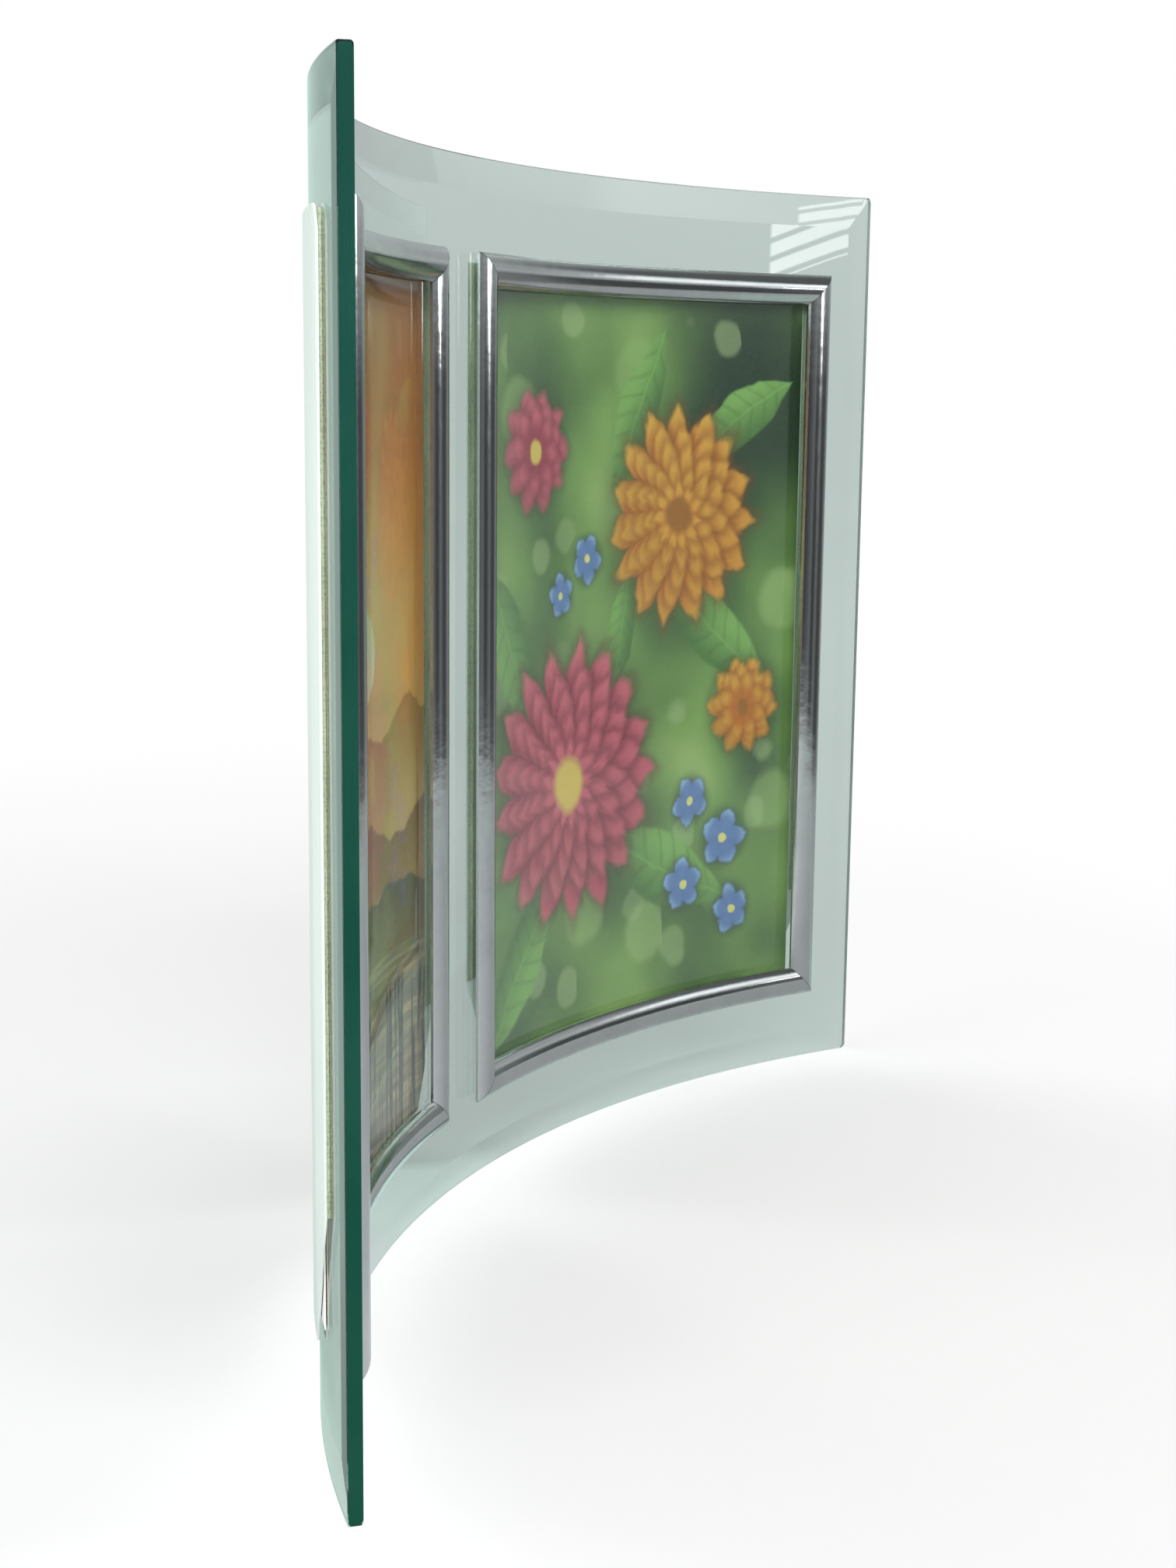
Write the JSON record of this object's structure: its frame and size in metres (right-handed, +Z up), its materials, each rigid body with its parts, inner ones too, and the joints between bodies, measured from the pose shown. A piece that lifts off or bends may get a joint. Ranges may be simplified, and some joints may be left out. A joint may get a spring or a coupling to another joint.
{
  "type": "curved glass photo frame",
  "caption": "Free-standing bent glass panel with bevelled edges, silver half-round frames on its hollow front and slide-in print pockets behind.",
  "frame": {"origin": "on the table under the middle of the object's box", "axes": "+Z up, hollow front towards -Y, +X to the right as seen from the front"},
  "size_m": [0.3028, 0.0558, 0.23],
  "materials": {
    "glass": "clear float glass with a green edge, polished",
    "silver_moulding": "polished silver",
    "bond_strip": "thin double-sided strip",
    "foam_tape": "green foam tape",
    "white_panel": "white sheet, satin",
    "left_print": null,
    "right_print": null
  },
  "bodies": {
    "frame": {"glass_panel": "glass", "left_top_rail": "silver_moulding", "left_top_rail_bond": "bond_strip", "left_bottom_rail": "silver_moulding", "left_bottom_rail_bond": "bond_strip", "left_outer_stile": "silver_moulding", "left_outer_stile_bond": "bond_strip", "left_inner_stile": "silver_moulding", "left_inner_stile_bond": "bond_strip", "left_outer_tape": "foam_tape", "left_inner_tape": "foam_tape", "left_bottom_tape": "foam_tape", "left_back_panel": "white_panel", "right_top_rail": "silver_moulding", "right_top_rail_bond": "bond_strip", "right_bottom_rail": "silver_moulding", "right_bottom_rail_bond": "bond_strip", "right_outer_stile": "silver_moulding", "right_outer_stile_bond": "bond_strip", "right_inner_stile": "silver_moulding", "right_inner_stile_bond": "bond_strip", "right_outer_tape": "foam_tape", "right_inner_tape": "foam_tape", "right_bottom_tape": "foam_tape", "right_back_panel": "white_panel"},
    "left_print": {"left_print": "left_print"},
    "right_print": {"right_print": "right_print"}
  },
  "joints": [
    {"name": "left_print_slide", "type": "slide", "parent": "frame", "child": "left_print", "axis": [0, 0, 1], "range_m": [0, 0.185]},
    {"name": "right_print_slide", "type": "slide", "parent": "frame", "child": "right_print", "axis": [0, 0, 1], "range_m": [0, 0.185]}
  ]
}
